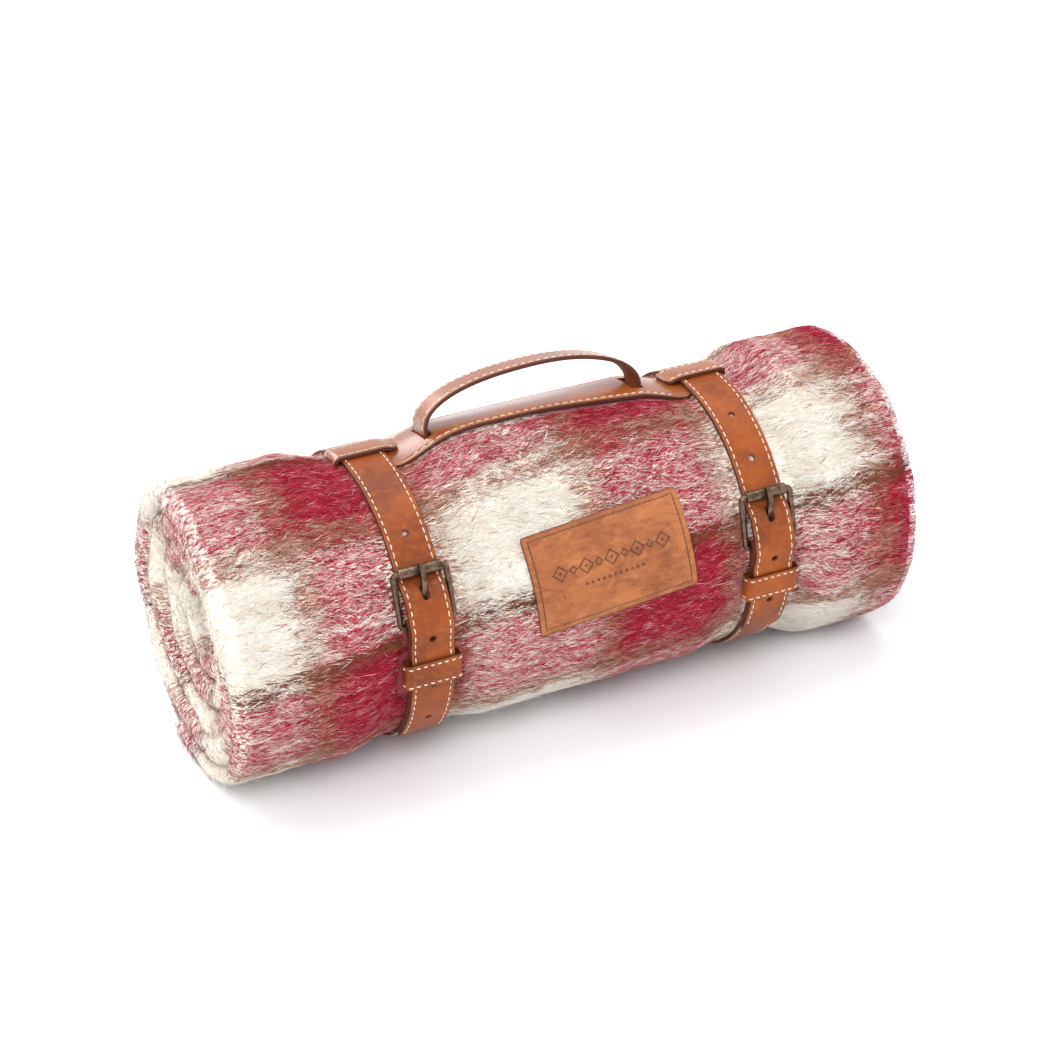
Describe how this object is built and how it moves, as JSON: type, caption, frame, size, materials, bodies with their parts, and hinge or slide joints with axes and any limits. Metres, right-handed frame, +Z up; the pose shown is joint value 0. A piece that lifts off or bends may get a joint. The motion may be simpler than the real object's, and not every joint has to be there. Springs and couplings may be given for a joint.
{
  "type": "rolled blanket with strap carrier",
  "caption": "Rolled plaid mohair throw held by leather straps with roller buckles, keepers, a stitched yoke and an arched carrying handle.",
  "frame": {"origin": "middle of the flattened underside, on the table", "axes": "+X along the roll, left to right seen from the buckle side; -Y the front with buckles and label; +Z up"},
  "size_m": [0.44, 0.1822, 0.2038],
  "materials": {
    "mohair": "brushed long-pile mohair in a crimson, cream and tan plaid",
    "strap_leather": "smooth cognac leather, satin, dark painted edges",
    "lining_leather": "second ply of the same cognac leather",
    "label_leather": "waxed nubuck, mottled",
    "cream_thread": "waxed cream thread",
    "dark_thread": "dark brown thread",
    "antique_metal": "antique gunmetal brass, worn bright on the edges"
  },
  "bodies": {
    "carrier": {"blanket_roll": "mohair", "label_patch": "label_leather", "label_stitching": "dark_thread", "yoke_panel": "strap_leather", "yoke_lining": "lining_leather", "yoke_stitching": "cream_thread", "left_girth_strap": "strap_leather", "left_girth_lining": "lining_leather", "left_girth_stitching": "cream_thread", "right_girth_strap": "strap_leather", "right_girth_lining": "lining_leather", "right_girth_stitching": "cream_thread"},
    "handle": {"handle_strap": "strap_leather", "handle_lining": "lining_leather", "handle_stitching": "cream_thread", "handle_end_tabs": "strap_leather"},
    "left_buckle": {"left_buckle_frame": "antique_metal"},
    "left_roller": {"left_buckle_roller": "antique_metal"},
    "left_prong": {"left_buckle_prong": "antique_metal"},
    "left_keeper_loop": {"left_keeper": "strap_leather", "left_keeper_stitching": "cream_thread"},
    "left_tail": {"left_tail_end": "strap_leather", "left_tail_lining": "lining_leather", "left_tail_stitching": "cream_thread"},
    "right_buckle": {"right_buckle_frame": "antique_metal"},
    "right_roller": {"right_buckle_roller": "antique_metal"},
    "right_prong": {"right_buckle_prong": "antique_metal"},
    "right_keeper_loop": {"right_keeper": "strap_leather", "right_keeper_stitching": "cream_thread"},
    "right_tail": {"right_tail_end": "strap_leather", "right_tail_lining": "lining_leather", "right_tail_stitching": "cream_thread"}
  },
  "joints": [
    {"name": "handle_slide", "type": "slide", "parent": "carrier", "child": "handle", "axis": [0, 0.2419, 0.9703], "range_m": [-0.002, 0.002]},
    {"name": "left_buckle_tilt", "type": "hinge", "parent": "carrier", "child": "left_buckle", "pos_m": [-0.102, -0.08114, 0.1077], "axis": [1, 0, 0], "range_deg": [0, 1.5]},
    {"name": "left_roller_spin", "type": "hinge", "parent": "left_buckle", "child": "left_roller", "pos_m": [-0.102, -0.07176, 0.13639], "axis": [1, 0, 0], "continuous": true},
    {"name": "left_prong_lift", "type": "hinge", "parent": "left_buckle", "child": "left_prong", "pos_m": [-0.102, -0.08114, 0.1077], "axis": [1, 0, 0], "range_deg": [0, 1.5]},
    {"name": "left_keeper_slide", "type": "hinge", "parent": "carrier", "child": "left_keeper_loop", "pos_m": [-0.102, 0, 0.0852], "axis": [1, 0, 0], "range_deg": [-2, 6]},
    {"name": "left_tail_flex", "type": "hinge", "parent": "carrier", "child": "left_tail", "pos_m": [-0.102, -0.08299, 0.05811], "axis": [-1, 0, 0], "range_deg": [0, 35], "stiffness_Nm_per_rad": 0.02, "springref_deg": -17.19},
    {"name": "right_buckle_tilt", "type": "hinge", "parent": "carrier", "child": "right_buckle", "pos_m": [0.114, -0.08265, 0.10127], "axis": [1, 0, 0], "range_deg": [0, 1.5]},
    {"name": "right_roller_spin", "type": "hinge", "parent": "right_buckle", "child": "right_roller", "pos_m": [0.114, -0.07556, 0.1306], "axis": [1, 0, 0], "continuous": true},
    {"name": "right_prong_lift", "type": "hinge", "parent": "right_buckle", "child": "right_prong", "pos_m": [0.114, -0.08265, 0.10127], "axis": [1, 0, 0], "range_deg": [0, 1.5]},
    {"name": "right_keeper_slide", "type": "hinge", "parent": "carrier", "child": "right_keeper_loop", "pos_m": [0.114, 0, 0.0852], "axis": [1, 0, 0], "range_deg": [-1.5, 5.5]},
    {"name": "right_tail_flex", "type": "hinge", "parent": "carrier", "child": "right_tail", "pos_m": [0.114, -0.08299, 0.05811], "axis": [-1, 0, 0], "range_deg": [0, 35], "stiffness_Nm_per_rad": 0.02, "springref_deg": -17.19}
  ]
}
